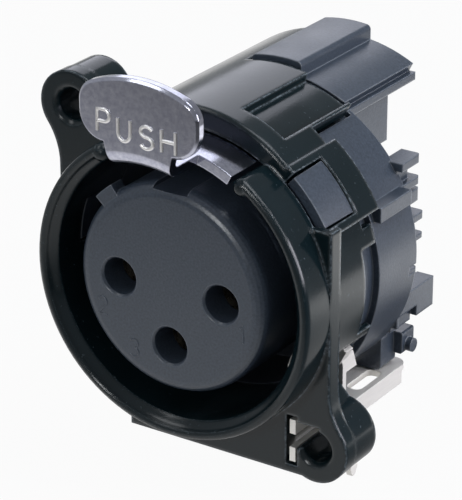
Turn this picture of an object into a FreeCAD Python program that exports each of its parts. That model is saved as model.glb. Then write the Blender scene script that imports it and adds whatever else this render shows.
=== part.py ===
import FreeCAD, Part
import math
import os

# Three-pole female audio panel socket with its pins turned down to a circuit board.
# Seen from the front, X runs to the right, Y from the panel to the rear and Z up.
# The origin is on the plug axis, at the panel face of the two screw ears.
# Angles are counted about the plug axis from the top, positive towards the right.

# Plug interface
bore_radius = 9.5
nose_radius = 7.4
nose_setback = 0.13
nose_edge_round = 0.9
nose_edge_steps = 5
keyway_half_width = 1.35
keyway_depth = 0.48
contact_circle_radius = 4.05
pin_hole_radius = 1.3
pin_hole_chamfer = 0.15

# Front shell: collar, flange and screw ears
body_wall = 1.22
collar_height = 2.84
collar_lead_in = 0.5
collar_lead_in_depth = 0.8
collar_rim_steps = 4
collar_gap_angle = 33.0
collar_end_taper = 0.3
flange_thickness = 1.25
flange_foot = 1.66
flange_toe = 5.15
flange_side_rise = 0.44
ear_inset_x = 1.01
ear_inset_z = 0.62
ear_radius = 2.47
ear_blend_radius = 4.8
ear_depth = 3.85
ear_boss_step = 0.05
ear_web_half_width = 1.9
ear_hole_radius = 1.1
ear_hole_chamfer = 0.3
ear_recess_reach = 0.34
ear_recess_rise = 1.6
ear_recess_drop = 0.35
ear_recess_depth = 3.2

# Front shell: barrel, side straps and roof
barrel_rear = 4.5
frame_rear = 6.25
shoulder_rear = 5.35
skirt_end_angle = 112.0
belly_step = 0.57
tab_thickness = 0.45
side_tab_end_angle = 75.5
lower_tab_start_angle = 108.5
strap_start_angle = 37.4
strap_end_angle = 64.0
strap_stand = 1.05
strap_thickness = 0.8
strap_arm_angle = 2.9
window_rear = 3.75
left_strap_turn = -130.0
rail_notch_front = 5.2
roof_front = 0.41
roof_rear = 10.34
roof_thickness = 1.5
roof_arc_height = 1.6
roof_front_bevel = 0.18
roof_left_angle = -45.0
roof_ridge_angle = 30.2
roof_right_angle = 39.5
roof_tail_rear = 18.2
recess_start_angle = 11.9
recess_front = 2.3
recess_floor_thickness = 0.8
ridge_angle_width = 1.2

# Latch, one piece of stamped spring steel
latch_channel_depth = 1.0
latch_clearance = 0.1
sheet_thickness = 0.7
latch_half_angle = 28.0
latch_travel = 1.5
latch_end_clearance = 0.4
wing_front = -2.7
plate_front = -6.06
plate_height = 4.77
plate_top_arc = 9.5
plate_half_width = 4.6
plate_top_corner = 1.55
plate_rise = 0.55
plate_bottom_corner = 1.95
plate_edge_round = 0.18
neck_half_angle = 13.3
bend_radius = 0.35
tooth_half_angle = 8.5
tooth_front = 1.0
tooth_reach = 0.95
tongue_half_width = 1.1
guide_half_width = 0.5
guide_length = 2.6

# Latch return spring
spring_mean_radius = 0.92
spring_wire_radius = 0.16
spring_turns = 6
spring_steps = 12
spring_sides = 6
spring_pocket_radius = 1.32
spring_end_play = 0.05

# Contact carrier: drum and snap arms
moulding_fit = 0.05
drum_length = 4.95
base_thickness = 1.7
top_opening_angle = 31.3
arm_start_angle = 41.2
arm_end_angle = 60.5
arm_front = 0.7
arm_skin = 0.1
catch_front_height = 0.45
catch_height = 0.75
rail_low = 3.9
rail_high = 4.95
rail_inset = 0.22
rail_front = 6.65
rail_rear = 10.7
rim_notch_low = -1.25
rim_notch_high = -0.6
rim_notch_length = 0.9
rim_notch_depth = 1.72
nub_angle = -42.5
nub_half_angle = 6.0
nub_height = 0.55
nub_length = 1.4

# Contact carrier: canopy behind the drum
slit_width = 0.56
canopy_rear = 20.1
right_flank_step = 0.68
left_flank_step = 0.4
flank_thickness = 0.95
flank_half_angle = 27.0
crown_left = -2.35
crown_right = 1.6
crown_proud = 0.2
crown_round = 0.35
spine_depth = 2.7
lip_reach = 5.27
lip_drop = 1.12
lip_thickness = 0.58
fin_face = 5.0
fin_thickness = 0.6
fin_rear = 16.8
fin_height = 4.08
pocket_end_wall = 1.3

# Contact carrier: ribs and blocks on the rear face
short_rib_bands = ((5.85, 6.45), (4.3, 4.85), (3.1, 4.0), (-2.32, -1.88))
long_rib_bands = ((1.87, 2.37), (0.45, 0.8))
short_rib_inset = 1.12
long_rib_inset = 0.72
rib_width = 1.5
rib_length = 2.15
rib_corner = 0.3
rib_root_inset = 1.57
rib_root_width = 1.95
rib_root_length = 1.2
rib_root_margin = 0.3
shelf_inset = 1.22
shelf_width = 1.3
shelf_length = 4.7
shelf_low = -5.78
shelf_height = 2.18
shelf_slot_depth = 0.5
shelf_slot_height = 0.78
shelf_slot_length = 2.4
shelf_web_drop = 0.42
foot_half_width = 8.3
foot_length = 1.7
foot_inset = 1.42
foot_height = 2.8
foot_round = 0.45
peg_overlap = 0.9
peg_overhang = 0.7
peg_length = 1.3
peg_low_margin = 0.8
peg_high_margin = 0.4
peg_round = 0.15
peg_tip_radius = 0.5
peg_tip_proud = 0.45
block_overlap = 0.3

# Contacts and their board pins
contact_front = -0.4
contact_length = 7.4
contact_bore_radius = 1.21
contact_wall = 0.3
contact_bore_depth = 6.6
contact_lead_in = 0.2
contact_lead_in_depth = 0.55
contact_slot_width = 0.3
contact_slot_length = 4.5
contact_fit = 0.04
tail_width = 0.8
tail_thickness = 0.5
tail_slot_clearance = 0.06
pin_reach = 2.82
pin_taper = 0.6
pin_tip_width = 0.35
upper_tail_setback = 0.8
lower_tail_setback = 3.2

# Ground contact, one piece of stamped strip
ground_thickness = 0.45
ground_inset = 1.72
ground_cross_gap = 0.05
ground_riser_width = 0.85
ground_spigot_gap = 0.075
ground_plate_height = 1.32
ground_plate_reach_top = 5.2
ground_plate_reach_bottom = 5.7
ground_sheet_gap = 0.05
ground_sheet_width = 3.0
ground_sheet_rear = 13.6
ground_sheet_round = 0.9
ground_opening_front = 7.65
ground_opening_rear = 10.95
ground_opening_width = 1.15
ground_opening_round = 0.45
ground_arm_height = 1.38
ground_arm_rear = 12.7
ground_pin_front = 5.95
ground_pin_width = 0.9
tine_inset = 1.95
tine_height = 1.05
tine_rise = 1.15
tine_pitch = 2.05
tine_pocket_clearance = 0.3
finger_angle = 117.5
finger_half_width = 0.6
finger_thickness = 0.35
finger_slot_front = 2.4
finger_slot_clearance = 0.15
finger_root_front = 3.6
finger_knee_reach = 1.05
finger_knee_front = 0.8
finger_tip_reach = 0.7
finger_tip_front = 0.0

# Sizes that follow from the ones above
body_radius = bore_radius + body_wall
belly_radius = body_radius - belly_step
spigot_radius = body_radius - tab_thickness - moulding_fit
tab_inner_radius = body_radius - tab_thickness
strap_radius = body_radius + strap_stand
strap_inner_radius = strap_radius - strap_thickness
flange_drop = body_radius + flange_foot
flange_side_top = strap_radius * math.cos(math.radians(strap_end_angle)) + flange_side_rise
ear_x = body_radius - ear_inset_x
ear_z = body_radius - ear_inset_z
channel_radius = bore_radius + latch_channel_depth
roof_arc_radius = channel_radius + roof_thickness - roof_arc_height
latch_outer = channel_radius - latch_clearance
latch_inner = latch_outer - sheet_thickness
latch_middle = latch_outer - sheet_thickness / 2
plate_bottom = latch_outer + plate_rise
plate_top = plate_bottom + plate_height
right_flank_radius = channel_radius + right_flank_step
left_flank_radius = channel_radius + left_flank_step
spine_floor = left_flank_radius - spine_depth
lip_high = channel_radius - lip_drop
collar_front = -collar_height
nose_front = collar_front + nose_setback
keyway_floor = nose_radius - keyway_depth
drum_front = frame_rear + moulding_fit
drum_rear = drum_front + drum_length
bore_floor = drum_rear - base_thickness
arch_rear = bore_floor - latch_travel - latch_end_clearance
canopy_front = roof_rear + slit_width
spring_front = canopy_front + spring_end_play
spring_seat = canopy_rear - pocket_end_wall
contact_radius = contact_bore_radius + contact_wall
contact_rear = contact_front + contact_length
pin_tip = -flange_drop - pin_reach
shelf_reach = body_radius - shelf_inset
foot_low = foot_inset - body_radius
foot_high = foot_low + foot_height
peg_inner = foot_half_width - peg_overlap
peg_reach = foot_half_width + peg_overhang
peg_low = foot_low + peg_low_margin
peg_high = foot_high - peg_high_margin
ground_plane = body_radius - ground_inset
ground_plate_top = -math.sqrt((spigot_radius + ground_spigot_gap) ** 2 - ground_plane**2)
ground_plate_bottom = ground_plate_top - ground_plate_height
ground_cross_front = ear_depth + ground_cross_gap
ground_cross_rear = ground_cross_front + ground_thickness
ground_sheet_top = foot_low - ground_sheet_gap
ground_sheet_inner = ground_plane - ground_sheet_width
ground_arm_inner = ground_plane - ground_thickness
ground_arm_bottom = ground_sheet_top - ground_arm_height
tine_inner = ear_x - tine_inset
tine_upper_centre = tine_rise - ear_z
tine_lower_centre = tine_upper_centre - tine_pitch
finger_knee = bore_radius - finger_knee_reach
finger_tip = bore_radius - finger_tip_reach
strap_window_start = strap_start_angle + strap_arm_angle
strap_window_end = strap_end_angle - strap_arm_angle
beyond = 40.0
cut_margin = 1.0
axis_y = FreeCAD.Vector(0, 1, 0)
origin = FreeCAD.Vector(0, 0, 0)


def polar(radius, degrees, y):
    turn = math.radians(degrees)
    return FreeCAD.Vector(radius * math.sin(turn), y, radius * math.cos(turn))


def arc(start, middle, end):
    return Part.Arc(start, middle, end).toShape()


def line(start, end):
    return Part.makeLine(start, end)


def box(x_low, x_high, y_low, y_high, z_low, z_high):
    corner = FreeCAD.Vector(x_low, y_low, z_low)
    return Part.makeBox(x_high - x_low, y_high - y_low, z_high - z_low, corner)


def rod(radius, front, rear, x=0.0, z=0.0):
    return Part.makeCylinder(radius, rear - front, FreeCAD.Vector(x, front, z), axis_y)


def cone(front_radius, rear_radius, front, rear, x=0.0, z=0.0):
    return Part.makeCone(front_radius, rear_radius, rear - front, FreeCAD.Vector(x, front, z), axis_y)


def prism(edges, front, rear):
    """Extrudes a closed outline, drawn at y = front, back to y = rear."""
    face = Part.Face(Part.Wire(edges))
    return face.extrude(FreeCAD.Vector(0, rear - front, 0))


def sector(inner, outer, start, end, front, rear):
    """Piece of a ring about the plug axis, or of a disc where inner is zero."""
    middle = (start + end) / 2
    edges = [arc(polar(outer, start, front), polar(outer, middle, front), polar(outer, end, front))]
    if inner > 0:
        edges.append(line(polar(outer, end, front), polar(inner, end, front)))
        edges.append(arc(polar(inner, end, front), polar(inner, middle, front), polar(inner, start, front)))
        edges.append(line(polar(inner, start, front), polar(outer, start, front)))
    else:
        edges.append(line(polar(outer, end, front), FreeCAD.Vector(0, front, 0)))
        edges.append(line(FreeCAD.Vector(0, front, 0), polar(outer, start, front)))
    return prism(edges, front, rear)


def turned(points, degrees=360.0, start=0.0):
    """Revolves a closed outline of (radius, y) points about the plug axis."""
    corners = [FreeCAD.Vector(0, y, radius) for radius, y in points]
    face = Part.Face(Part.makePolygon(corners + corners[:1]))
    face.rotate(origin, axis_y, start)
    return face.revolve(origin, axis_y, degrees)


def rounded_block(x_low, x_high, front, rear, z_low, z_high, radius):
    """Block whose outline, seen from the front, has round corners."""
    block = box(x_low, x_high, front, rear, z_low, z_high)
    along = [edge for edge in block.Edges if abs(edge.tangentAt(edge.FirstParameter).y) > 0.5]
    return block.makeFillet(radius, along)


def mirrored(shape):
    return shape.mirror(origin, FreeCAD.Vector(1, 0, 0))


def half_turn(shape):
    copy = shape.copy()
    copy.rotate(origin, axis_y, 180)
    return copy


def joined(first, others):
    return first.fuse(others).removeSplitter()


def ear_rise():
    """Height above the screw hole at which the ear's hollow blend meets the flange's side."""
    reach = body_radius - ear_x
    return math.sqrt((ear_blend_radius + ear_radius) ** 2 - (reach + ear_blend_radius) ** 2)


def ear_plate():
    """Lower right ear of the flange: a round end with a hollow blend up to the flange's side."""
    rise = ear_rise()
    side_point = FreeCAD.Vector(body_radius, 0, -ear_z + rise)
    blend_centre = FreeCAD.Vector(body_radius + ear_blend_radius, 0, -ear_z + rise)
    ear_centre = FreeCAD.Vector(ear_x, 0, -ear_z)
    towards = (blend_centre - ear_centre).normalize()
    round_point = ear_centre + towards * ear_radius
    sag = (side_point + round_point) * 0.5 - blend_centre
    blend_middle = blend_centre + sag.normalize() * ear_blend_radius
    inside = FreeCAD.Vector(ear_x - ear_radius, 0, -ear_z + rise)
    blend = prism(
        [
            arc(side_point, blend_middle, round_point),
            line(round_point, ear_centre),
            line(ear_centre, inside),
            line(inside, side_point),
        ],
        0,
        flange_thickness,
    )
    end = rod(ear_radius, 0, flange_thickness, ear_x, -ear_z)
    return end.fuse(blend)


def ear_boss():
    """Deep round boss behind the lower right ear, with the web that ties it to the barrel."""
    boss_radius = ear_radius - ear_boss_step
    boss = rod(boss_radius, 0, ear_depth, ear_x, -ear_z)
    reach = math.hypot(ear_x, ear_z)
    web = box(-ear_web_half_width, ear_web_half_width, 0, ear_depth, bore_radius + body_wall / 2, reach)
    web.rotate(origin, axis_y, math.degrees(math.atan2(ear_x, -ear_z)))
    return boss.fuse(web)


def ear_hole():
    """Pilot hole for a self-tapping screw through the lower right ear, with a lead-in."""
    hole = rod(ear_hole_radius, -cut_margin, ear_depth + cut_margin, ear_x, -ear_z)
    mouth = cone(ear_hole_radius + ear_hole_chamfer, ear_hole_radius, 0, ear_hole_chamfer, ear_x, -ear_z)
    return hole.fuse(mouth)


def flange():
    """Flat plate behind the panel: round round the barrel, square at the lower right."""
    plate = rod(body_radius, 0, flange_thickness)
    right = box(0, body_radius, 0, flange_thickness, -flange_drop, flange_side_top)
    left = box(-body_radius, 0, 0, flange_thickness, 0, ear_z - ear_rise())
    toe = box(-flange_toe, body_radius - ear_radius, 0, flange_thickness, -flange_drop, 0)
    corner = box(body_radius - ear_radius, body_radius, 0, flange_thickness, -flange_drop, -ear_z)
    right = right.cut(corner)
    foot = box(0, ear_x, 0, flange_thickness, -flange_drop, -ear_z)
    whole = plate.fuse([right, left, toe, foot, ear_plate(), half_turn(ear_plate())])
    return whole.fuse([ear_boss(), half_turn(ear_boss())])


def barrel():
    """Collar and barrel turned as one wall with a half-round front rim, open at the top for the latch."""
    rim_radius = (body_wall - collar_lead_in) / 2
    rim_middle = body_radius - rim_radius
    outline = [(bore_radius, barrel_rear), (bore_radius, collar_front + collar_lead_in_depth)]
    for step in range(collar_rim_steps + 1):
        turn = math.pi * (step / collar_rim_steps - 0.5)
        radius = rim_middle + rim_radius * math.sin(turn)
        outline.append((radius, collar_front + rim_radius * (1 - math.cos(turn))))
    outline.append((body_radius, barrel_rear))
    wall = turned(outline)
    belly_rear = barrel_rear + cut_margin
    belly = sector(belly_radius, beyond, skirt_end_angle, 360 - skirt_end_angle, flange_thickness, belly_rear)
    return wall.cut(belly)


def collar_end():
    """Round left end of the collar wall at the latch gap, with a tapered front."""
    end_radius = body_wall / 2
    middle = polar(bore_radius + end_radius, -collar_gap_angle, 0)
    straight_front = collar_front + collar_end_taper
    tip = cone(end_radius / 2, end_radius, collar_front, straight_front, middle.x, middle.z)
    return tip.fuse(rod(end_radius, straight_front, flange_thickness, middle.x, middle.z))


def roof():
    """Arched roof over the latch, with a long tail on its left side."""
    arch = rod(roof_arc_radius, roof_front, roof_tail_rear, 0, roof_arc_height)
    edges = [edge for edge in arch.Edges if abs(edge.BoundBox.YMax - roof_front) < moulding_fit]
    arch = arch.makeChamfer(roof_front_bevel, edges)
    tongue = arch.common(sector(0, beyond, roof_left_angle, roof_ridge_angle, 0, roof_rear))
    shoulder_start = roof_ridge_angle - cut_margin
    shoulder = arch.common(sector(0, beyond, shoulder_start, roof_right_angle, 0, shoulder_rear))
    tail = arch.common(sector(0, beyond, roof_left_angle, 0, roof_rear - cut_margin, roof_tail_rear))
    tail = tail.cut(box(crown_left - moulding_fit, beyond, roof_rear - 2 * cut_margin, beyond, 0, beyond))
    whole = tongue.fuse([shoulder, tail])
    channel = rod(channel_radius, -beyond, roof_rear)
    tail_space = rod(left_flank_radius + 2 * moulding_fit, roof_rear, beyond)
    drum_space = sector(
        0, body_radius + 2 * moulding_fit, -beyond * 2, -top_opening_angle, frame_rear - cut_margin, beyond
    )
    recess = sector(
        channel_radius + recess_floor_thickness,
        beyond,
        recess_start_angle,
        roof_ridge_angle - ridge_angle_width,
        recess_front,
        roof_rear + cut_margin,
    )
    return whole.cut([channel, tail_space, drum_space, recess])


def side_strap(turn):
    """Snap frame on one side of the shell: two arms and a cross-bar round an open window."""
    start = strap_start_angle + turn
    end = strap_end_angle + turn
    loop = sector(strap_inner_radius, strap_radius, start, end, roof_front, frame_rear)
    roots = sector(channel_radius - body_wall / 2, strap_radius, start, end, roof_front, barrel_rear)
    window = sector(
        bore_radius, beyond, strap_window_start + turn, strap_window_end + turn, -cut_margin, window_rear
    )
    under = sector(
        0, strap_inner_radius, strap_window_start + turn, strap_window_end + turn, 0, barrel_rear + cut_margin
    )
    return loop.fuse(roots).cut([window, under])


def arm_slot(turn):
    """Slot in the barrel, open to the rear, that the carrier's snap arm slides into."""
    return sector(
        bore_radius - cut_margin,
        strap_inner_radius,
        strap_window_start + turn,
        strap_window_end + turn,
        roof_front,
        barrel_rear + cut_margin,
    )


def catch_space(turn):
    """Recess behind the flange in which the carrier's catch stands clear of it."""
    return sector(
        bore_radius - cut_margin,
        strap_inner_radius + catch_height,
        strap_window_start + turn,
        strap_window_end + turn,
        arm_front - moulding_fit,
        window_rear,
    )


def upper_tab(turn):
    """Thin tab beside a snap frame that carries the barrel's wall back over the carrier's spigot."""
    front = barrel_rear - cut_margin
    start = strap_end_angle - cut_margin + turn
    tab = sector(tab_inner_radius, body_radius, start, side_tab_end_angle + turn, front, frame_rear)
    return tab.cut(box(-beyond, beyond, rail_notch_front, beyond, rail_low, rail_high))


def lower_tab():
    """Narrow tab at the end of the barrel's skirt on the right side."""
    front = barrel_rear - cut_margin
    return sector(tab_inner_radius, body_radius, lower_tab_start_angle, skirt_end_angle, front, frame_rear)


def finger_slot():
    """Slot through the barrel for the ground contact's finger, open to the rear."""
    half_width = finger_half_width + finger_slot_clearance
    slot_rear = barrel_rear + cut_margin
    slot = box(-half_width, half_width, finger_slot_front, slot_rear, nose_radius, body_radius + cut_margin)
    slot.rotate(origin, axis_y, finger_angle)
    return slot


def tine_pocket():
    """Slot through the lower right ear for the two ground tines, open in front to the screw hole."""
    low = tine_lower_centre - tine_height / 2 - tine_pocket_clearance
    high = tine_upper_centre + tine_height / 2 + tine_pocket_clearance
    left = tine_inner - tine_pocket_clearance
    right = tine_inner + ground_thickness + tine_pocket_clearance / 2
    slot = box(left, right, -cut_margin, ear_depth + cut_margin, low, high)
    recess_right = ear_x + ear_recess_reach
    recess_low = -ear_z - ear_recess_drop
    recess_high = -ear_z + ear_recess_rise
    return slot.fuse(box(left, recess_right, -cut_margin, ear_recess_depth, recess_low, recess_high))


def front_shell():
    """One glossy black moulding: collar, flange, ears, barrel, snap frames and roof."""
    right_frame = side_strap(0)
    left_frame = side_strap(left_strap_turn)
    tabs = [upper_tab(0), upper_tab(left_strap_turn), lower_tab(), mirrored(lower_tab())]
    shell = barrel().fuse([flange(), roof(), right_frame, left_frame] + tabs)
    gap_front = collar_front - cut_margin
    gap_rear = barrel_rear + cut_margin
    latch_gap = sector(0, channel_radius, -collar_gap_angle, collar_gap_angle, gap_front, gap_rear)
    front_gap = sector(0, beyond, -collar_gap_angle, collar_gap_angle, gap_front, roof_front)
    front_gap = front_gap.cut(half_turn(ear_boss()))
    bore = rod(bore_radius, -cut_margin, barrel_rear + cut_margin)
    cuts = [bore, latch_gap, front_gap, arm_slot(0), arm_slot(left_strap_turn)]
    cuts += [catch_space(0), catch_space(left_strap_turn)]
    cuts += [ear_hole(), half_turn(ear_hole()), tine_pocket(), finger_slot()]
    ends = [collar_end(), mirrored(collar_end())]
    return shell.cut(cuts).fuse(ends).cut(bore).removeSplitter()


def nose():
    """Round insulating nose with a soft front edge, a keyway and three chamfered pin holes."""
    outline = [(0, bore_floor), (0, nose_front)]
    for step in range(nose_edge_steps + 1):
        turn = math.pi / 2 * step / nose_edge_steps
        radius = nose_radius - nose_edge_round * (1 - math.sin(turn))
        outline.append((radius, nose_front + nose_edge_round * (1 - math.cos(turn))))
    outline.append((nose_radius, bore_floor))
    body = turned(outline)
    keyway = box(
        -keyway_half_width,
        keyway_half_width,
        nose_front - cut_margin,
        bore_floor,
        keyway_floor,
        nose_radius + cut_margin,
    )
    nub = sector(
        nose_radius - nub_height,
        nose_radius + nub_height,
        nub_angle - nub_half_angle,
        nub_angle + nub_half_angle,
        nose_front + nose_edge_round / 4,
        nose_front + nub_length,
    )
    return body.cut(keyway).fuse(nub)


def contact_places():
    """Pole number, x and z of the three contacts, seen from the front."""
    r = contact_circle_radius
    return [(1, r, 0.0), (2, -r, 0.0), (3, 0.0, -r)]


def tail_rear(z):
    """Y of the rear face of a contact's board pin: the lower contact reaches further back."""
    setback = upper_tail_setback if z > -contact_circle_radius / 2 else lower_tail_setback
    return drum_rear + setback + tail_thickness


def contact_space(x, z):
    """Pin hole, contact seat and tail slot that one contact needs in the carrier."""
    hole = rod(pin_hole_radius, nose_front - cut_margin, contact_front + cut_margin, x, z)
    mouth = cone(
        pin_hole_radius + pin_hole_chamfer, pin_hole_radius, nose_front, nose_front + pin_hole_chamfer, x, z
    )
    seat = rod(contact_radius + contact_fit, contact_front, contact_rear, x, z)
    half_width = tail_width / 2 + tail_slot_clearance
    half_height = tail_thickness / 2 + tail_slot_clearance
    slot_rear = drum_rear + cut_margin
    slot = box(x - half_width, x + half_width, contact_front, slot_rear, z - half_height, z + half_height)
    return hole.fuse([mouth, seat, slot])


def snap_arm(turn):
    """Springy arm with a sloping catch that clicks behind the shell's cross-bar."""
    inner = bore_radius + arm_skin
    outer = strap_inner_radius - 2 * moulding_fit
    start = arm_start_angle + turn
    end = arm_end_angle + turn
    arm = sector(inner, outer, start, end, arm_front, drum_front + cut_margin)
    catch_rear = window_rear - moulding_fit
    ramp = turned(
        [
            (outer - catch_front_height, arm_front),
            (outer + catch_front_height, arm_front),
            (outer + catch_height, catch_rear),
            (outer - catch_front_height, catch_rear),
        ],
        end - start,
        start,
    )
    return arm.fuse(ramp)


def canopy():
    """Roof behind the drum: a raised crown over the spring, two lower flanks, lips and fins."""
    inner = left_flank_radius - flank_thickness
    right = sector(inner, right_flank_radius, 0, flank_half_angle, canopy_front, canopy_rear)
    left = sector(inner, left_flank_radius, -flank_half_angle, 0, canopy_front, canopy_rear)
    crown = rod(roof_arc_radius + crown_proud, canopy_front, canopy_rear, 0, roof_arc_height)
    crown = crown.common(box(crown_left, crown_right, canopy_front, canopy_rear, spine_floor, beyond))
    shoulders = [
        edge
        for edge in crown.Edges
        if edge.BoundBox.ZMin > spine_floor + moulding_fit and edge.BoundBox.YLength > crown_round * 2
    ]
    crown = crown.makeFillet(crown_round, shoulders)
    lip_low = lip_high - lip_thickness
    lip = box(lip_reach - flank_thickness, lip_reach, canopy_front, canopy_rear, lip_low, lip_high)
    fin_low = lip_high - fin_height
    fin = box(fin_face - fin_thickness, fin_face, drum_rear - block_overlap, fin_rear, fin_low, lip_high)
    return right.fuse([left, crown, lip, mirrored(lip), fin, mirrored(fin)])


def rib(low, high, inset):
    """Flat rib on the carrier's rear face, round at its outer rear corner."""
    reach = body_radius - inset
    block = box(reach - rib_width, reach, drum_rear - block_overlap, drum_rear + rib_length, low, high)
    behind = [edge for edge in block.Edges if edge.BoundBox.YMin > drum_rear]
    corner = [edge for edge in behind if edge.BoundBox.XMin > reach - rib_corner]
    return block.makeFillet(rib_corner, corner)


def rear_blocks():
    """Ribs, slotted shelf with its web, foot and peg on the right half of the carrier's rear face."""
    front = drum_rear - block_overlap
    low = short_rib_bands[-1][0] - rib_root_margin
    high = short_rib_bands[0][1] - rib_root_margin
    root_reach = body_radius - rib_root_inset
    root = box(root_reach - rib_root_width, root_reach, front, drum_rear + rib_root_length, low, high)
    ribs = [rib(band_low, band_high, short_rib_inset) for band_low, band_high in short_rib_bands]
    ribs += [rib(band_low, band_high, long_rib_inset) for band_low, band_high in long_rib_bands]
    shelf_rear = drum_rear + shelf_length
    shelf_high = shelf_low + shelf_height
    shelf = box(shelf_reach - shelf_width, shelf_reach, front, shelf_rear, shelf_low, shelf_high)
    shelf_slot = box(
        shelf_reach - shelf_slot_depth,
        beyond,
        drum_rear,
        drum_rear + shelf_slot_length,
        shelf_low - cut_margin,
        shelf_low + shelf_slot_height,
    )
    web_reach = shelf_reach - shelf_slot_depth
    web_rear = drum_rear + shelf_slot_length
    web = box(shelf_reach - shelf_width, web_reach, front, web_rear, shelf_low - shelf_web_drop, shelf_high)
    foot_rear = drum_rear + foot_length
    foot = rounded_block(-1, foot_half_width, front, foot_rear, foot_low, foot_high, foot_round)
    foot = foot.cut(box(-beyond, 0, 0, beyond, -beyond, beyond))
    peg_rear = foot_rear + peg_length
    peg_front = foot_rear - block_overlap
    peg = rounded_block(peg_inner, peg_reach, peg_front, peg_rear, peg_low, peg_high, peg_round)
    tip_y = peg_rear - 1.5 * peg_tip_radius
    tip_centre = FreeCAD.Vector(peg_inner + foot_round, tip_y, peg_low + peg_tip_radius)
    tip_length = peg_reach + peg_tip_proud - tip_centre.x
    tip = Part.makeCylinder(peg_tip_radius, tip_length, tip_centre, FreeCAD.Vector(1, 0, 0))
    return root.fuse(ribs + [shelf.cut(shelf_slot), web, foot, peg, tip])


def contact_carrier():
    """One matt moulding: nose, drum, snap arms, canopy and the blocks on its rear face."""
    base = rod(body_radius, bore_floor, drum_rear)
    channel_end = sector(
        channel_radius - 2 * latch_clearance,
        beyond,
        -top_opening_angle,
        top_opening_angle,
        bore_floor - cut_margin,
        canopy_front,
    )
    drum = rod(body_radius, drum_front, bore_floor).cut(rod(bore_radius, 0, beyond))
    spigot = rod(spigot_radius, barrel_rear + moulding_fit, drum_front).cut(rod(bore_radius, 0, beyond))
    wall = drum.fuse(spigot)
    wall = wall.cut(sector(0, beyond, -top_opening_angle, top_opening_angle, 0, bore_floor))
    rail = box(bore_radius, body_radius - rail_inset, rail_front, rail_rear, rail_low, rail_high)
    solids = [wall, nose(), canopy(), rail, mirrored(rail), snap_arm(0), snap_arm(left_strap_turn)]
    solids += [rear_blocks(), mirrored(rear_blocks())]
    carrier = base.cut(channel_end).fuse(solids)
    pocket = rod(spring_pocket_radius, bore_floor - cut_margin, spring_seat, 0, latch_middle)
    notch_inner = body_radius - rim_notch_depth
    notch_front = drum_rear - rim_notch_length
    rim_notch = box(notch_inner, beyond, notch_front, beyond, rim_notch_low, rim_notch_high)
    cuts = [pocket, rim_notch, mirrored(rim_notch)]
    for number, x, z in contact_places():
        cuts.append(contact_space(x, z))
        if z > foot_high / 2:
            half_width = tail_width / 2 + 2 * tail_slot_clearance
            slot_front = tail_rear(z) - tail_thickness - 2 * tail_slot_clearance
            cuts.append(box(x - half_width, x + half_width, slot_front, beyond, -beyond, z))
    return carrier.cut(cuts).removeSplitter()


def push_plate():
    """Flat plate under the thumb, wider than it is tall, with an arched top and round corners."""
    y = plate_front
    side = plate_half_width
    arc_floor = plate_top - plate_top_arc
    side_top = arc_floor + math.sqrt(plate_top_arc**2 - side**2)
    left = FreeCAD.Vector(-side, y, side_top)
    right = FreeCAD.Vector(side, y, side_top)
    low_left = FreeCAD.Vector(-side, y, plate_bottom)
    low_right = FreeCAD.Vector(side, y, plate_bottom)
    outline = [
        arc(left, FreeCAD.Vector(0, y, plate_top), right),
        line(right, low_right),
        line(low_right, low_left),
        line(low_left, left),
    ]
    plate = prism(outline, y, y + sheet_thickness)
    across = [edge for edge in plate.Edges if edge.BoundBox.YLength > sheet_thickness / 2]
    middle = (plate_bottom + side_top) / 2
    plate = plate.makeFillet(plate_top_corner, [edge for edge in across if edge.BoundBox.ZMax > middle])
    across = [edge for edge in plate.Edges if edge.BoundBox.YLength > sheet_thickness / 2]
    sharp = [edge for edge in across if edge.BoundBox.ZMax < plate_bottom + moulding_fit]
    plate = plate.makeFillet(plate_bottom_corner, sharp)
    rim = [edge for edge in plate.Edges if edge.BoundBox.YMax < y + moulding_fit]
    return plate.makeChamfer(plate_edge_round, rim)


def latch_neck():
    """Bend that carries the thumb plate on the arched sheet behind it."""
    bend_y = plate_front + sheet_thickness + bend_radius
    bend_z = latch_outer + bend_radius
    diagonal = math.sqrt(0.5)
    outside = sheet_thickness + bend_radius
    rise = plate_bottom + sheet_thickness

    def at(y, z):
        return FreeCAD.Vector(0, y, z)

    outline = [
        line(at(plate_front, rise), at(plate_front, bend_z)),
        arc(
            at(plate_front, bend_z),
            at(bend_y - outside * diagonal, bend_z - outside * diagonal),
            at(bend_y, latch_inner),
        ),
        line(at(bend_y, latch_inner), at(wing_front + cut_margin, latch_inner)),
        line(at(wing_front + cut_margin, latch_inner), at(wing_front + cut_margin, latch_outer)),
        line(at(wing_front + cut_margin, latch_outer), at(bend_y, latch_outer)),
        arc(
            at(bend_y, latch_outer),
            at(bend_y - bend_radius * diagonal, bend_z - bend_radius * diagonal),
            at(bend_y - bend_radius, bend_z),
        ),
        line(at(bend_y - bend_radius, bend_z), at(bend_y - bend_radius, rise)),
        line(at(bend_y - bend_radius, rise), at(plate_front, rise)),
    ]
    face = Part.Face(Part.Wire(outline))
    face.rotate(origin, axis_y, -neck_half_angle)
    return face.revolve(origin, axis_y, 2 * neck_half_angle)


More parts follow.
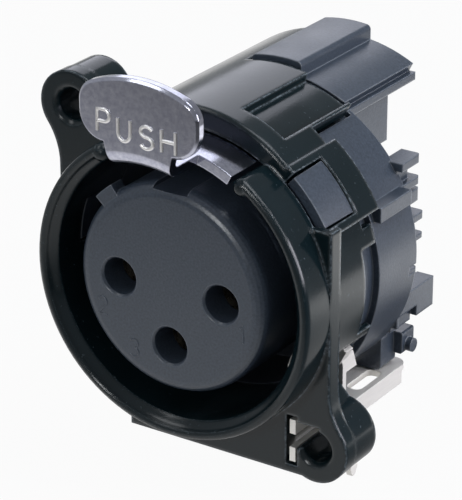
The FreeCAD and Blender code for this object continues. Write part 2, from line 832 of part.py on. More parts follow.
def latch():
    """Push latch: thumb plate, bend, arched sheet, locking tooth and spring tongue."""
    arch = sector(latch_inner, latch_outer, -latch_half_angle, latch_half_angle, wing_front, arch_rear)
    tongue_angle = math.degrees(math.asin(tongue_half_width / latch_outer))
    guide_angle = math.degrees(math.asin(guide_half_width / latch_outer))
    tongue_rear = spring_front - spring_end_play
    tongue_front = arch_rear - cut_margin
    tongue = sector(latch_inner, latch_outer, -tongue_angle, tongue_angle, tongue_front, tongue_rear)
    guide_front = tongue_rear - cut_margin
    guide_rear = tongue_rear + guide_length
    guide = sector(latch_inner, latch_outer, -guide_angle, guide_angle, guide_front, guide_rear)
    tooth = sector(
        latch_inner - tooth_reach,
        latch_middle,
        -tooth_half_angle,
        tooth_half_angle,
        tooth_front,
        tooth_front + sheet_thickness,
    )
    return joined(arch, [push_plate(), latch_neck(), tongue, guide, tooth])


def latch_spring():
    """Small compression spring behind the latch, in the carrier's crown."""
    first = spring_front + spring_wire_radius
    length = spring_seat - spring_end_play - spring_wire_radius - first
    steps = spring_turns * spring_steps
    sections = []
    for step in range(steps + 1):
        turn = 2 * math.pi * step / spring_steps
        outward = FreeCAD.Vector(math.cos(turn), 0, math.sin(turn))
        centre = FreeCAD.Vector(0, first + length * step / steps, latch_middle) + outward * spring_mean_radius
        corners = []
        for side in range(spring_sides):
            angle = 2 * math.pi * side / spring_sides
            along = axis_y * (spring_wire_radius * math.sin(angle))
            corners.append(centre + outward * (spring_wire_radius * math.cos(angle)) + along)
        sections.append(Part.makePolygon(corners + corners[:1]))
    return Part.makeLoft(sections, True, True)


def board_pin(x, rear, top, tip, width, thickness):
    """Flat pin that runs down to the board and narrows at its tip."""
    shank = box(x - width / 2, x + width / 2, rear - thickness, rear, tip + pin_taper, top)
    low = tip + pin_taper
    corners = [
        FreeCAD.Vector(x - width / 2, rear - thickness, low),
        FreeCAD.Vector(x + width / 2, rear - thickness, low),
        FreeCAD.Vector(x + pin_tip_width / 2, rear - thickness, tip),
        FreeCAD.Vector(x - pin_tip_width / 2, rear - thickness, tip),
    ]
    point = Part.Face(Part.makePolygon(corners + corners[:1])).extrude(FreeCAD.Vector(0, thickness, 0))
    return shank.fuse(point)


def contact(x, z):
    """Slotted socket that grips a plug pin, with a flat tail bent down to the board."""
    body = rod(contact_radius, contact_front, contact_rear, x, z)
    bore = rod(contact_bore_radius, contact_front - cut_margin, contact_front + contact_bore_depth, x, z)
    lead_in_rear = contact_front + contact_lead_in_depth
    mouth = cone(
        contact_bore_radius + contact_lead_in, contact_bore_radius, contact_front, lead_in_rear, x, z
    )
    half_slot = contact_slot_width / 2
    slot_rear = contact_front + contact_slot_length
    slot = box(x - half_slot, x + half_slot, contact_front - cut_margin, slot_rear, z - beyond, z + beyond)
    socket = body.cut([bore, mouth, slot])
    rear = tail_rear(z)
    half_height = tail_thickness / 2
    half_width = tail_width / 2
    tail_front = contact_rear - tail_thickness
    tail = box(x - half_width, x + half_width, tail_front, rear, z - half_height, z + half_height)
    pin = board_pin(x, rear, z + half_height, pin_tip, tail_width, tail_thickness)
    return joined(socket, [tail, pin])


def ground_tine(centre):
    """Tine that comes forward through the ear and touches the back of the panel."""
    low = centre - tine_height / 2
    right = tine_inner + ground_thickness
    return box(tine_inner, right, 0, ground_cross_rear, low, low + tine_height)


def ground_finger():
    """Sprung finger that enters the bore and touches the plug's shell."""
    root_rear = barrel_rear
    t = finger_thickness
    root = body_radius - body_wall / 2
    outline = [
        (root + 2 * t, finger_root_front),
        (root + 2 * t, root_rear),
        (root - t, root_rear),
        (bore_radius - t - finger_slot_clearance, finger_root_front - t),
        (finger_knee, finger_knee_front),
        (finger_tip, finger_tip_front),
        (finger_tip + t, finger_tip_front + t / 2),
        (finger_knee + t, finger_knee_front + t / 2),
        (bore_radius - finger_slot_clearance, finger_root_front - 2 * t),
        (root, finger_root_front),
    ]
    corners = [FreeCAD.Vector(-finger_half_width, y, r) for r, y in outline]
    face = Part.Face(Part.makePolygon(corners + corners[:1]))
    finger = face.extrude(FreeCAD.Vector(2 * finger_half_width, 0, 0))
    finger.rotate(origin, axis_y, finger_angle)
    return finger


def ground_plate():
    """Upright plate beside the barrel that carries the bore finger."""
    outline = [
        (finger_root_front, ground_plate_top),
        (ground_plate_reach_top, ground_plate_top),
        (ground_plate_reach_bottom, ground_plate_bottom),
        (ground_cross_front, ground_plate_bottom),
        (ground_cross_front, (ground_plate_top + ground_plate_bottom) / 2),
    ]
    corners = [FreeCAD.Vector(ground_plane, y, z) for y, z in outline]
    return Part.Face(Part.makePolygon(corners + corners[:1])).extrude(FreeCAD.Vector(ground_thickness, 0, 0))


def ground_sheet():
    """Level sheet under the carrier's foot, with a round outer corner and an opening."""
    low = ground_sheet_top - ground_thickness
    sheet = box(
        ground_sheet_inner, ground_plane, ground_cross_front, ground_sheet_rear, low, ground_sheet_top
    )
    behind = [edge for edge in sheet.Edges if edge.BoundBox.YMin > ground_cross_rear]
    corner = [edge for edge in behind if edge.BoundBox.XMin > ground_arm_inner]
    sheet = sheet.makeFillet(ground_sheet_round, corner)
    opening = box(
        ground_arm_inner - ground_opening_width,
        ground_arm_inner,
        ground_opening_front,
        ground_opening_rear,
        low - cut_margin,
        ground_sheet_top + cut_margin,
    )
    upright = [edge for edge in opening.Edges if edge.BoundBox.ZLength > cut_margin]
    return sheet.cut(opening.makeFillet(ground_opening_round, upright))


def ground_arm():
    """Outer edge of the level sheet, turned down, with the board pin stamped on it."""
    pin_rear = ground_pin_front + ground_pin_width
    narrowing = (ground_pin_width - pin_tip_width) / 2
    outline = [
        (ground_cross_front, ground_sheet_top),
        (ground_arm_rear, ground_sheet_top),
        (ground_arm_rear, ground_arm_bottom),
        (pin_rear, ground_arm_bottom),
        (pin_rear, pin_tip + pin_taper),
        (pin_rear - narrowing, pin_tip),
        (ground_pin_front + narrowing, pin_tip),
        (ground_pin_front, pin_tip + pin_taper),
        (ground_pin_front, ground_arm_bottom),
        (ground_cross_front, ground_arm_bottom),
    ]
    corners = [FreeCAD.Vector(ground_arm_inner, y, z) for y, z in outline]
    return Part.Face(Part.makePolygon(corners + corners[:1])).extrude(FreeCAD.Vector(ground_thickness, 0, 0))


def ground_contact():
    """Stamped ground strip: two panel tines, bore finger, level sheet, turned-down arm and board pin."""
    outer = ground_plane + ground_thickness
    low = tine_lower_centre - tine_height / 2
    high = tine_upper_centre + tine_height / 2
    cross = box(tine_inner, outer, ground_cross_front, ground_cross_rear, low, high)
    riser_inner = outer - ground_riser_width
    riser = box(riser_inner, outer, ground_cross_front, ground_cross_rear, high, ground_plate_bottom)
    tines = [ground_tine(tine_upper_centre), ground_tine(tine_lower_centre)]
    return joined(cross, [riser, ground_plate(), ground_sheet(), ground_arm(), ground_finger()] + tines)


os.makedirs("parts", exist_ok=True)
front_shell().exportStep("parts/front_shell.step")
contact_carrier().exportStep("parts/contact_carrier.step")
latch().exportStep("parts/latch.step")
latch_spring().exportStep("parts/latch_spring.step")
for number, x, z in contact_places():
    contact(x, z).exportStep("parts/contact_%d.step" % number)
ground_contact().exportStep("parts/ground_contact.step")
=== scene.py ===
import bpy
import math
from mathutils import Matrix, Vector


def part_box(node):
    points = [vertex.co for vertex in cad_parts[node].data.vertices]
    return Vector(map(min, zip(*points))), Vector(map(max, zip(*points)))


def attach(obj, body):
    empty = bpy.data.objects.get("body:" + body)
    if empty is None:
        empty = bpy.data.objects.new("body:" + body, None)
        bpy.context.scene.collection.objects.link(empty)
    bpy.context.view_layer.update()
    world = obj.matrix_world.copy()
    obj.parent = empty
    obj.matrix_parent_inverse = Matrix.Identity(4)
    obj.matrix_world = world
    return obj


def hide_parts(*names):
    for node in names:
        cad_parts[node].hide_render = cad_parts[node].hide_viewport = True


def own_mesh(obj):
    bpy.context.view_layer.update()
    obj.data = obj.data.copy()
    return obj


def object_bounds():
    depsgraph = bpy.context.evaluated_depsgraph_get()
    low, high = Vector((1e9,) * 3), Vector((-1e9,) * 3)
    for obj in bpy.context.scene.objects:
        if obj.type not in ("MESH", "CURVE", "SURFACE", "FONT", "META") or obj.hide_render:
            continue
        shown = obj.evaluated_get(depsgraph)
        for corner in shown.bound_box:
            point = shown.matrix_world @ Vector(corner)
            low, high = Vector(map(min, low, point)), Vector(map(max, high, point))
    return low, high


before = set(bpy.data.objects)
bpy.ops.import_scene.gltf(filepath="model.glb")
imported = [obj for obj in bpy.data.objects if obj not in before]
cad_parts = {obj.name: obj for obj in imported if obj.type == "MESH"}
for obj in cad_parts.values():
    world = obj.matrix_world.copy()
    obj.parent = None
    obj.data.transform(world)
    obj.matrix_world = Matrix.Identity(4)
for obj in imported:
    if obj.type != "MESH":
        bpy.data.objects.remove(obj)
cad_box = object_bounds()


# Front shell
# One black thermoplastic polyester moulding: collar, flange, screw ears, barrel, snap frames and roof.
# It is pressed over the contact carrier until the snap frames click behind the carrier's catches.
MM = 0.001


def linear(hex_colour):
    """Linear RGBA of an sRGB hex colour."""
    channels = [int(hex_colour[i:i + 2], 16) / 255 for i in (1, 3, 5)]
    return [c / 12.92 if c <= 0.04045 else ((c + 0.055) / 1.055) ** 2.4 for c in channels] + [1.0]


def add_node(tree, kind, settings=None, links=None):
    """Adds one node. Settings are its socket values or properties, links are the output sockets that feed it.

    An input goes by its name, or by its number where several share one name.
    """
    node = tree.nodes.new(kind)
    for name, value in (settings or {}).items():
        if isinstance(name, int) or name in node.inputs:
            node.inputs[name].default_value = value
        else:
            setattr(node, name, value)
    for name, source in (links or {}).items():
        tree.links.new(source, node.inputs[name])
    return node


def bare_material(name):
    """New node material with an empty tree."""
    material = bpy.data.materials.new(name)
    material.use_nodes = True
    material.node_tree.nodes.clear()
    return material


def moulded_edges(tree, radius, first_turn, full_turn):
    """The normal with its edges softened, as a tool leaves them, and a mask of those edges.

    The mask rises while the cosine between the softened and the sharp normal falls from first to full turn.
    """
    softened = add_node(tree, "ShaderNodeBevel", {"samples": 8, "Radius": radius})
    sharp = add_node(tree, "ShaderNodeNewGeometry")
    turn = add_node(tree, "ShaderNodeVectorMath", {"operation": "DOT_PRODUCT"},
                    {0: softened.outputs["Normal"], 1: sharp.outputs["Normal"]})
    mask = add_node(tree, "ShaderNodeMapRange", {"From Min": first_turn, "From Max": full_turn},
                    {"Value": turn.outputs["Value"]})
    return softened.outputs["Normal"], mask.outputs["Result"]


def give_skin(tree, settings, colour, pattern, smoothest, roughest, normal=None):
    """Ends a material with a plastic or metal skin whose roughness follows a noise pattern.

    The noise lies mostly between 0.3 and 0.7.
    """
    roughness = add_node(tree, "ShaderNodeMapRange",
                         {"From Min": 0.3, "From Max": 0.7, "To Min": smoothest, "To Max": roughest},
                         {"Value": pattern})
    links = {"Base Color": colour, "Roughness": roughness.outputs["Result"]}
    if normal is not None:
        links["Normal"] = normal
    skin = add_node(tree, "ShaderNodeBsdfPrincipled", settings, links)
    add_node(tree, "ShaderNodeOutputMaterial", None, {"Surface": skin.outputs["BSDF"]})


def dress(piece, material):
    """Puts one material in the piece's only slot."""
    piece.data.materials.clear()
    piece.data.materials.append(material)


# Polyester from a polished tool: the eye sees broad clear reflections with a faint orange peel, and a slight
# cloudiness where the melt flowed. Pale, patchy lines on the edges are painted highlight; a few specks are
# dust.
# Peel and specks are drawn coarser than the real ones, so that they show.
shell_edge = 0.42 * MM
shell_flow = 4.0 * MM
peel_width = 0.22 * MM
peel_depth = 0.02 * MM
speck_width = 0.30 * MM
shell_plastic = bare_material("black_polyester_moulded")
tree = shell_plastic.node_tree
place = add_node(tree, "ShaderNodeTexCoord").outputs["Object"]
edge_normal, edge_mask = moulded_edges(tree, shell_edge, first_turn=0.91, full_turn=0.76)
flow = add_node(tree, "ShaderNodeTexNoise", {"Scale": 1 / shell_flow, "Detail": 3.0}, {"Vector": place})
peel = add_node(tree, "ShaderNodeTexNoise", {"Scale": 1 / peel_width, "Detail": 2.0}, {"Vector": place})
specks = add_node(tree, "ShaderNodeTexNoise", {"Scale": 1 / speck_width, "Detail": 4.0, "Roughness": 0.7},
                  {"Vector": place})
tone = add_node(tree, "ShaderNodeMix", {"data_type": "RGBA", "A": linear("#0A1518"), "B": linear("#101E23")},
                {"Factor": flow.outputs["Fac"]})
dust = add_node(tree, "ShaderNodeMapRange", {"From Min": 0.66, "From Max": 0.74, "To Max": 0.4},
                {"Value": specks.outputs["Fac"]})
patches = add_node(tree, "ShaderNodeMapRange", {"From Min": 0.42, "From Max": 0.64, "To Min": 0.08},
                   {"Value": specks.outputs["Fac"]})
# Painted highlight: pale, patchy lines along the edges.
painted_edge_highlight = add_node(tree, "ShaderNodeMath", {"operation": "MULTIPLY"},
                  {0: edge_mask, 1: patches.outputs["Result"]})
dust_and_highlight = add_node(tree, "ShaderNodeMath", {"operation": "MAXIMUM"},
                {0: painted_edge_highlight.outputs["Value"], 1: dust.outputs["Result"]})
# The pale colour holds both the specks of dust and the painted edge highlight.
tone_with_painted_highlight = add_node(tree, "ShaderNodeMix", {"data_type": "RGBA", "B": linear("#7E8A92")},
                {"Factor": dust_and_highlight.outputs["Value"], "A": tone.outputs["Result"]})
bumps = add_node(tree, "ShaderNodeBump", {"Strength": 0.18, "Distance": peel_depth},
                 {"Height": peel.outputs["Fac"], "Normal": edge_normal})
give_skin(tree, {"IOR": 1.42}, tone_with_painted_highlight.outputs["Result"], flow.outputs["Fac"], smoothest=0.12, roughest=0.21,
          normal=bumps.outputs["Normal"])
dress(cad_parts["front_shell"], shell_plastic)


# Contact carrier
# One dark grey glass-filled polyester moulding: nose, drum, snap arms, canopy and blocks on its rear face.
# It slides into the shell from behind and carries the three contacts.

# Glass-filled polyester from a spark-eroded tool: a finely grained satin grey with soft reflections, and
# edges made paler by painted highlight. The grain is drawn coarser than the real one, so that it shows.
carrier_edge = 0.16 * MM
carrier_flow = 3.0 * MM
grain_width = 0.16 * MM
grain_depth = 0.02 * MM
carrier_plastic = bare_material("grey_glass_filled_polyester_eroded")
tree = carrier_plastic.node_tree
place = add_node(tree, "ShaderNodeTexCoord").outputs["Object"]
edge_normal, edge_mask = moulded_edges(tree, carrier_edge, first_turn=0.995, full_turn=0.80)
flow = add_node(tree, "ShaderNodeTexNoise", {"Scale": 1 / carrier_flow, "Detail": 4.0}, {"Vector": place})
grain = add_node(tree, "ShaderNodeTexNoise", {"Scale": 1 / grain_width, "Detail": 3.0}, {"Vector": place})
tone = add_node(tree, "ShaderNodeMix", {"data_type": "RGBA", "A": linear("#1D252D"), "B": linear("#464F5C")},
                {"Factor": grain.outputs["Fac"]})
# Painted highlight: a paler grey along the edges.
tone_with_painted_highlight = add_node(tree, "ShaderNodeMix", {"data_type": "RGBA", "B": linear("#6B727B")},
                {"Factor": edge_mask, "A": tone.outputs["Result"]})
pits = add_node(tree, "ShaderNodeBump", {"Strength": 0.5, "Distance": grain_depth},
                {"Height": grain.outputs["Fac"], "Normal": edge_normal})
give_skin(tree, {"IOR": 1.54}, tone_with_painted_highlight.outputs["Result"], flow.outputs["Fac"], smoothest=0.28, roughest=0.36,
          normal=pits.outputs["Normal"])
dress(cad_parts["contact_carrier"], carrier_plastic)


# Pole numbers
# Low raised figures beside the three pin holes, moulded in one with the nose, so they have its plastic.
# They are half-round strokes that stand a little proud of the nose.
def stroke_arc(centre_x, centre_z, radius_x, radius_z, start, end, steps=14):
    """Points on an ellipse, angles in degrees counted from +X towards +Z."""
    turns = [math.radians(start + (end - start) * i / steps) for i in range(steps + 1)]
    return [(centre_x + radius_x * math.cos(t), centre_z + radius_z * math.sin(t)) for t in turns]


def raised_strokes(name, signs, height, face, thickness, proud):
    """Curve object of half-round strokes on a front face, sizes in mm.

    Signs holds (x, z, width, strokes), with x and z of the sign's middle and strokes in a square of side one.
    """
    curve = bpy.data.curves.new(name, "CURVE")
    curve.dimensions = "3D"
    curve.bevel_depth = thickness / 2 * MM
    curve.bevel_resolution = 3
    curve.use_fill_caps = True
    depth = face + thickness / 2 - proud
    for x, z, width, strokes in signs:
        for stroke in strokes:
            spline = curve.splines.new("POLY")
            spline.points.add(len(stroke) - 1)
            for point, (u, v) in zip(spline.points, stroke):
                point.co = ((x + (u - 0.5) * width) * MM, depth * MM, (z + (v - 0.5) * height) * MM, 1.0)
    piece = bpy.data.objects.new(name, curve)
    bpy.context.scene.collection.objects.link(piece)
    return piece


figure_one = [[(0.25, 0.78), (0.55, 1.0), (0.55, 0.0)]]
figure_two = [stroke_arc(0.5, 0.70, 0.42, 0.30, 160, -35) + [(0.08, 0.0), (0.95, 0.0)]]
figure_three = [stroke_arc(0.45, 0.76, 0.40, 0.24, 150, -80) + stroke_arc(0.45, 0.26, 0.45, 0.26, 80, -150)]
figure_width = 0.80
nose_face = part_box("contact_carrier")[0][1] / MM
pole_numbers = raised_strokes(
    "pole_numbers",
    [
        (5.79, -1.69, figure_width, figure_one),
        (-5.40, -2.40, figure_width, figure_two),
        (-2.83, -4.92, figure_width, figure_three),
    ],
    height=1.27,
    face=nose_face,
    thickness=0.17,
    proud=0.05,
)
dress(pole_numbers, carrier_plastic)
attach(pole_numbers, "housing")


# Contacts
# Three turned and slotted brass sockets with flat tails bent down to the board, tin plated all over.
# They are pushed into the carrier from behind.

# Tin on brass: a warm grey metal with a soft shine that is a little cloudy where the tin's crystals differ.
crystal_width = 0.4 * MM
contact_edge = 0.06 * MM
contact_plating = bare_material("tin_on_brass_plated")
tree = contact_plating.node_tree
place = add_node(tree, "ShaderNodeTexCoord").outputs["Object"]
crystal = add_node(tree, "ShaderNodeTexNoise", {"Scale": 1 / crystal_width, "Detail": 3.0}, {"Vector": place})
tone = add_node(tree, "ShaderNodeMix", {"data_type": "RGBA", "A": linear("#87837A"), "B": linear("#9C988F")},
                {"Factor": crystal.outputs["Fac"]})
edge = add_node(tree, "ShaderNodeBevel", {"samples": 4, "Radius": contact_edge})
give_skin(tree, {"Metallic": 1.0}, tone.outputs["Result"], crystal.outputs["Fac"],
          smoothest=0.22, roughest=0.34, normal=edge.outputs["Normal"])
for name in ("contact_1", "contact_2", "contact_3"):
    dress(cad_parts[name], contact_plating)


# Ground contact
# One stamped and folded bronze strip, tin plated: two tines in the lower ear, a finger in the bore, an arm
# along the side and a pin down to the board. It is held between the shell and the carrier's foot.

# Matt tin on rolled bronze: pale, with very soft reflections and faint lines along the strip from rolling.
# The lines are drawn coarser than the real ones, so that they show.
line_width = 0.12 * MM
line_stretch = 0.08
strip_edge = 0.06 * MM
ground_plating = bare_material("tin_on_bronze_strip")
tree = ground_plating.node_tree
place = add_node(tree, "ShaderNodeTexCoord").outputs["Object"]
rolled = add_node(tree, "ShaderNodeMapping", {"Scale": (1.0, line_stretch, 1.0)}, {"Vector": place})
lines = add_node(tree, "ShaderNodeTexNoise", {"Scale": 1 / line_width, "Detail": 2.0},
                 {"Vector": rolled.outputs["Vector"]})
tone = add_node(tree, "ShaderNodeMix", {"data_type": "RGBA", "A": linear("#DEDCD8"), "B": linear("#F0EEEA")},
                {"Factor": lines.outputs["Fac"]})
edge = add_node(tree, "ShaderNodeBevel", {"samples": 4, "Radius": strip_edge})
give_skin(tree, {"Metallic": 1.0}, tone.outputs["Result"], lines.outputs["Fac"],
          smoothest=0.66, roughest=0.78, normal=edge.outputs["Normal"])
dress(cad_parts["ground_contact"], ground_plating)


# Latch spring
# Small compression spring of drawn music wire, coiled cold, in the carrier's crown. Its rear end stands on
# the carrier and its front end on the latch's tongue, so the coil closes up with the push.

# Drawn music wire: a smooth, even grey with a clear shine and faint marks from the drawing die.
mark_width = 0.2 * MM
spring_steel = bare_material("music_wire_drawn")
tree = spring_steel.node_tree
place = add_node(tree, "ShaderNodeTexCoord").outputs["Object"]
marks = add_node(tree, "ShaderNodeTexNoise", {"Scale": 1 / mark_width, "Detail": 2.0}, {"Vector": place})
tone = add_node(tree, "ShaderNodeMix", {"data_type": "RGBA", "A": linear("#8C8C8E"), "B": linear("#A6A6A8")},
                {"Factor": marks.outputs["Fac"]})
metal = add_node(tree, "ShaderNodeBsdfPrincipled", {"Metallic": 1.0, "Roughness": 0.3},
                 {"Base Color": tone.outputs["Result"]})
add_node(tree, "ShaderNodeOutputMaterial", None, {"Surface": metal.outputs["BSDF"]})

wire_radius = 0.16 * MM
coil_turns = 6
turn_steps = 28
wire_sides = 8
spring_low, spring_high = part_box("latch_spring")
spring_height = (spring_low[2] + spring_high[2]) / 2
spring_length = spring_high[1] - spring_low[1]
coil_radius = (spring_high[0] - spring_low[0]) / 2 - wire_radius
coil_steps = coil_turns * turn_steps
coil_points = []
for step in range(coil_steps + 1):
    turn = 2 * math.pi * step / turn_steps
    along = spring_low[1] + wire_radius + (spring_length - 2 * wire_radius) * step / coil_steps
    for side in range(wire_sides):
        angle = 2 * math.pi * side / wire_sides
        out = coil_radius + wire_radius * math.cos(angle)
        coil_points.append((
            out * math.cos(turn),
            along + wire_radius * math.sin(angle),
            spring_height + out * math.sin(turn),
        ))
front_end = tuple(reversed(range(wire_sides)))
rear_end = tuple(range(coil_steps * wire_sides, (coil_steps + 1) * wire_sides))
coil_faces = [front_end, rear_end]
for step in range(coil_steps):
    for side in range(wire_sides):
        a = step * wire_sides + side
        b = step * wire_sides + (side + 1) % wire_sides
        coil_faces.append((a, b, b + wire_sides, a + wire_sides))
coil_mesh = bpy.data.meshes.new("spring_coil")
coil_mesh.from_pydata(coil_points, [], coil_faces)
coil_mesh.shade_smooth()
spring_coil = bpy.data.objects.new("spring_coil", coil_mesh)
bpy.context.scene.collection.objects.link(spring_coil)
dress(spring_coil, spring_steel)
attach(spring_coil, "housing")
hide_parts("latch_spring")
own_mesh(spring_coil)


# Latch
# One stamped and bent spring-steel sheet, nickel plated: thumb plate, arched sheet, tooth and tongue.
# It lies between the shell's roof and the carrier, and slides back under the thumb.

# Nickel on stamped steel: a cool, slightly hazy mirror with fine mottling, brighter along the rounded rim.
# The mottling is drawn coarser than the real one, so that it shows.
mottle_width = 0.35 * MM
mottle_depth = 0.02 * MM
cloud_width = 2.5 * MM
stamped_edge = 0.12 * MM
latch_steel = bare_material("nickel_on_spring_steel")
tree = latch_steel.node_tree
place = add_node(tree, "ShaderNodeTexCoord").outputs["Object"]
mottle = add_node(tree, "ShaderNodeTexNoise", {"Scale": 1 / mottle_width, "Detail": 4.0, "Roughness": 0.65},
                  {"Vector": place})
cloud = add_node(tree, "ShaderNodeTexNoise", {"Scale": 1 / cloud_width, "Detail": 2.0}, {"Vector": place})
tone = add_node(tree, "ShaderNodeMix", {"data_type": "RGBA", "A": linear("#9092A6"), "B": linear("#D8D9E3")},
                {"Factor": mottle.outputs["Fac"]})
edge = add_node(tree, "ShaderNodeBevel", {"samples": 6, "Radius": stamped_edge})
ripple = add_node(tree, "ShaderNodeBump", {"Strength": 0.12, "Distance": mottle_depth},
                  {"Height": mottle.outputs["Fac"], "Normal": edge.outputs["Normal"]})
give_skin(tree, {"Metallic": 1.0}, tone.outputs["Result"], cloud.outputs["Fac"],
          smoothest=0.10, roughest=0.18, normal=ripple.outputs["Normal"])
dress(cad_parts["latch"], latch_steel)


# Word on the thumb plate
# Plain strokes that say how the latch works, low and half-round, stamped up from the plate's own metal,
# so they ride on the latch.

# Stamped nickel: the stamp leaves it satin, so it scatters the light and stands out pale from the plate.
scuff_width = 0.15 * MM
stamped_nickel = bare_material("nickel_stamped_satin")
tree = stamped_nickel.node_tree
place = add_node(tree, "ShaderNodeTexCoord").outputs["Object"]
scuff = add_node(tree, "ShaderNodeTexNoise", {"Scale": 1 / scuff_width, "Detail": 3.0}, {"Vector": place})
tone = add_node(tree, "ShaderNodeMix", {"data_type": "RGBA", "A": linear("#ECEAE8"), "B": linear("#FAF8F7")},
                {"Factor": scuff.outputs["Fac"]})
give_skin(tree, {"Metallic": 1.0}, tone.outputs["Result"], scuff.outputs["Fac"],
          smoothest=0.32, roughest=0.46)

letter_p = [[(0.0, 0.0), (0.0, 1.0), (0.55, 1.0)] + stroke_arc(0.55, 0.73, 0.40, 0.27, 90, -90)
            + [(0.0, 0.46)]]
letter_u = [[(0.0, 1.0), (0.0, 0.40)] + stroke_arc(0.5, 0.40, 0.5, 0.40, 180, 360) + [(1.0, 1.0)]]
letter_s = [stroke_arc(0.5, 0.755, 0.46, 0.245, 25, 270) + stroke_arc(0.5, 0.255, 0.48, 0.255, 90, -155)]
letter_h = [[(0.0, 0.0), (0.0, 1.0)], [(1.0, 0.0), (1.0, 1.0)], [(0.0, 0.5), (1.0, 0.5)]]
plate_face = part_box("latch")[0][1] / MM
latch_word = raised_strokes(
    "latch_word",
    [
        (-2.57, 12.52, 1.0, letter_p),
        (-0.99, 12.18, 0.95, letter_u),
        (0.74, 12.04, 1.0, letter_s),
        (2.41, 12.10, 1.05, letter_h),
    ],
    height=1.50,
    face=plate_face,
    thickness=0.27,
    proud=0.115,
)
dress(latch_word, stamped_nickel)
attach(latch_word, "latch")


# Floor
# Plain white paper on a table, which the board pins just reach.
# The camera sees it white, with a faint shadow of the object.
floor_gap = 0.2 * MM
floor_reach = 0.9
floor_level = cad_box[0][2] - floor_gap
corners = [(x * floor_reach, y * floor_reach, floor_level) for x, y in ((-1, -1), (1, -1), (1, 1), (-1, 1))]
floor_mesh = bpy.data.meshes.new("floor")
floor_mesh.from_pydata(corners, [], [(0, 1, 2, 3)])
floor = bpy.data.objects.new("floor", floor_mesh)
bpy.context.scene.collection.objects.link(floor)

# Matt paper: to the camera it is white and even. What the object mirrors of it glows unevenly, with painted
# shade:
# darker on the left, far on the right, towards the front, most of all in front on the right, and in a painted
# shadow behind the carrier's foot; and a painted bright patch behind on the right, as a white card would make
# it.
view_turn = math.radians(33.3)
foot_spot = (12 * MM, 25 * MM, floor_level)
glow_spot = (30 * MM, 54 * MM, floor_level)
fibre_width = 0.5 * MM
paper = bare_material("white_paper_matt")
tree = paper.node_tree
place = add_node(tree, "ShaderNodeTexCoord").outputs["Object"]
ray = add_node(tree, "ShaderNodeLightPath")
turned = add_node(tree, "ShaderNodeMapping", {"Rotation": (0.0, 0.0, -view_turn)}, {"Vector": place})
axes = add_node(tree, "ShaderNodeSeparateXYZ", None, {"Vector": turned.outputs["Vector"]})
across = axes.outputs["X"]
away = axes.outputs["Y"]
from_foot = add_node(tree, "ShaderNodeVectorMath", {"operation": "DISTANCE", 1: foot_spot}, {0: place})
from_glow = add_node(tree, "ShaderNodeVectorMath", {"operation": "DISTANCE", 1: glow_spot}, {0: place})
right_level = add_node(tree, "ShaderNodeMapRange",
                       {"interpolation_type": "SMOOTHSTEP", "From Min": 6 * MM, "From Max": 18 * MM,
                        "To Min": 1.0, "To Max": 0.22},
                       {"Value": across})
glow_level = add_node(tree, "ShaderNodeMapRange", {"To Min": 1.9, "To Max": 1.0},
                      {"Value": ray.outputs["Is Camera Ray"]})

# Each row fades the level between two distances in mm. A linked level takes the place of the row's own.
level = None
for measure, near, far, near_level, far_level, linked in (
    (across, -30, -70, 1.0, 0.50, {}),  # on the left
    (across, 62, 84, 1.0, 0.35, {}),  # far on the right
    (away, -14, -44, 1.0, 0.36, {}),  # towards the front
    (away, 12, -2, 1.0, 1.0, {"To Max": right_level.outputs["Result"]}),  # in front on the right
    # Painted shadow behind the foot, in what the object mirrors.
    (from_foot.outputs["Value"], 4, 9, 0.05, 1.0, {}),  # behind the foot
    # Painted bright patch, where no card stands.
    (from_glow.outputs["Value"], 16, 30, 1.0, 1.0, {"To Min": glow_level.outputs["Result"]}),  # pale patch
):
    fall = add_node(tree, "ShaderNodeMapRange",
                    {"interpolation_type": "SMOOTHSTEP", "From Min": near * MM, "From Max": far * MM,
                     "To Min": near_level, "To Max": far_level},
                    {"Value": measure, **linked})
    if level is None:
        level = fall.outputs["Result"]
    else:
        product = add_node(tree, "ShaderNodeMath", {"operation": "MULTIPLY"},
                           {0: level, 1: fall.outputs["Result"]})
        level = product.outputs["Value"]
strength = add_node(tree, "ShaderNodeMath", {"operation": "MAXIMUM"},
                    {0: level, 1: ray.outputs["Is Camera Ray"]})
in_mirror = add_node(tree, "ShaderNodeMapRange", {"To Max": 0.92}, {"Value": ray.outputs["Is Glossy Ray"]})
in_view = add_node(tree, "ShaderNodeMapRange", {"To Max": 0.955}, {"Value": ray.outputs["Is Camera Ray"]})
share = add_node(tree, "ShaderNodeMath", {"operation": "MAXIMUM"},
                 {0: in_mirror.outputs["Result"], 1: in_view.outputs["Result"]})
fibre = add_node(tree, "ShaderNodeTexNoise", {"Scale": 1 / fibre_width, "Detail": 3.0}, {"Vector": place})
tone = add_node(tree, "ShaderNodeMix", {"data_type": "RGBA", "A": linear("#8C8E92"), "B": linear("#96989B")},
                {"Factor": fibre.outputs["Fac"]})
matt = add_node(tree, "ShaderNodeBsdfDiffuse", None, {"Color": tone.outputs["Result"]})
white = add_node(tree, "ShaderNodeEmission", {"Color": (1.0, 1.0, 1.0, 1.0)},
                 {"Strength": strength.outputs["Value"]})
seen = add_node(tree, "ShaderNodeMixShader", None,
                {"Fac": share.outputs["Value"], 1: matt.outputs["BSDF"], 2: white.outputs["Emission"]})
add_node(tree, "ShaderNodeOutputMaterial", None, {"Surface": seen.outputs["Shader"]})
dress(floor, paper)


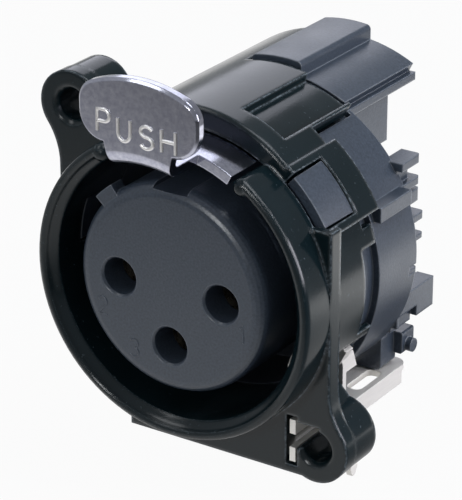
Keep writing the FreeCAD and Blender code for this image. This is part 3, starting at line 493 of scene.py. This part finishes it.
# Light
# A room that is pale on the left and darker on the right, and six soft boxes turned to the object: behind and
# over it for the roof and the crown, on the left and in front for the thumb plate and the nose, low on the
# right for the side, and a tall strip on the right that draws a bright line on the collar's rim.
world = bpy.data.worlds.new("studio")
bpy.context.scene.world = world
world.use_nodes = True
tree = world.node_tree
tree.nodes.clear()
place = add_node(tree, "ShaderNodeTexCoord").outputs["Generated"]
axes = add_node(tree, "ShaderNodeSeparateXYZ", None, {"Vector": place})
side = add_node(tree, "ShaderNodeMapRange",
                {"From Min": -0.6, "From Max": 0.4, "To Min": 0.46, "To Max": 0.28},
                {"Value": axes.outputs["X"]})
sky = add_node(tree, "ShaderNodeBackground", {"Color": (0.92, 0.95, 1.0, 1.0)},
               {"Strength": side.outputs["Result"]})
add_node(tree, "ShaderNodeOutputWorld", None, {"Surface": sky.outputs["Background"]})

middle = (Vector(cad_box[0]) + Vector(cad_box[1])) / 2
for name, spot, width, height, watts, colour in (
    ("soft_box_behind", (-0.30, 0.45, 0.27), 0.36, 0.36, 0.62, (0.88, 0.89, 1.0)),
    ("soft_box_over", (0.14, 0.12, 0.50), 0.26, 0.26, 1.2, (0.92, 0.95, 1.0)),
    ("soft_box_left", (-0.25, -0.22, 0.42), 0.16, 0.16, 0.28, (0.96, 0.98, 1.0)),
    ("soft_box_front", (0.00, -0.42, 0.16), 0.08, 0.08, 0.50, (0.96, 0.98, 1.0)),
    ("soft_box_right", (0.38, 0.15, 0.09), 0.18, 0.18, 1.05, (0.92, 0.91, 1.0)),
    ("strip_box_right", (0.32, 0.045, 0.27), 0.022, 0.32, 0.50, (0.94, 0.95, 1.0)),
):
    lamp_data = bpy.data.lights.new(name, "AREA")
    lamp_data.shape = "RECTANGLE"
    lamp_data.size = width
    lamp_data.size_y = height
    lamp_data.energy = watts
    lamp_data.color = colour
    lamp = bpy.data.objects.new(name, lamp_data)
    lamp.location = spot
    lamp.visible_camera = False
    lamp.rotation_euler = (middle - Vector(spot)).to_track_quat("-Z", "Y").to_euler()
    bpy.context.scene.collection.objects.link(lamp)


# Camera
# Long lens from the front right and above, level with the horizon. Its place, aim and length come from a fit
# to the collar's bore, the nose, the pin holes and both screw holes.
camera_place = Vector((91.85, -135.07, 74.14)) * MM
camera_aim = Vector((2.81, 0.43, 2.45)) * MM
camera_data = bpy.data.cameras.new("camera")
camera_data.sensor_fit = "HORIZONTAL"
camera_data.sensor_width = 36.0
camera_data.lens = 210.39
camera_data.clip_start = 0.01
camera_data.clip_end = 10.0
camera = bpy.data.objects.new("camera", camera_data)
camera.location = camera_place
camera.rotation_euler = (camera_aim - camera_place).to_track_quat("-Z", "Y").to_euler()
bpy.context.scene.collection.objects.link(camera)
bpy.context.scene.camera = camera
bpy.context.scene.view_settings.view_transform = "Standard"
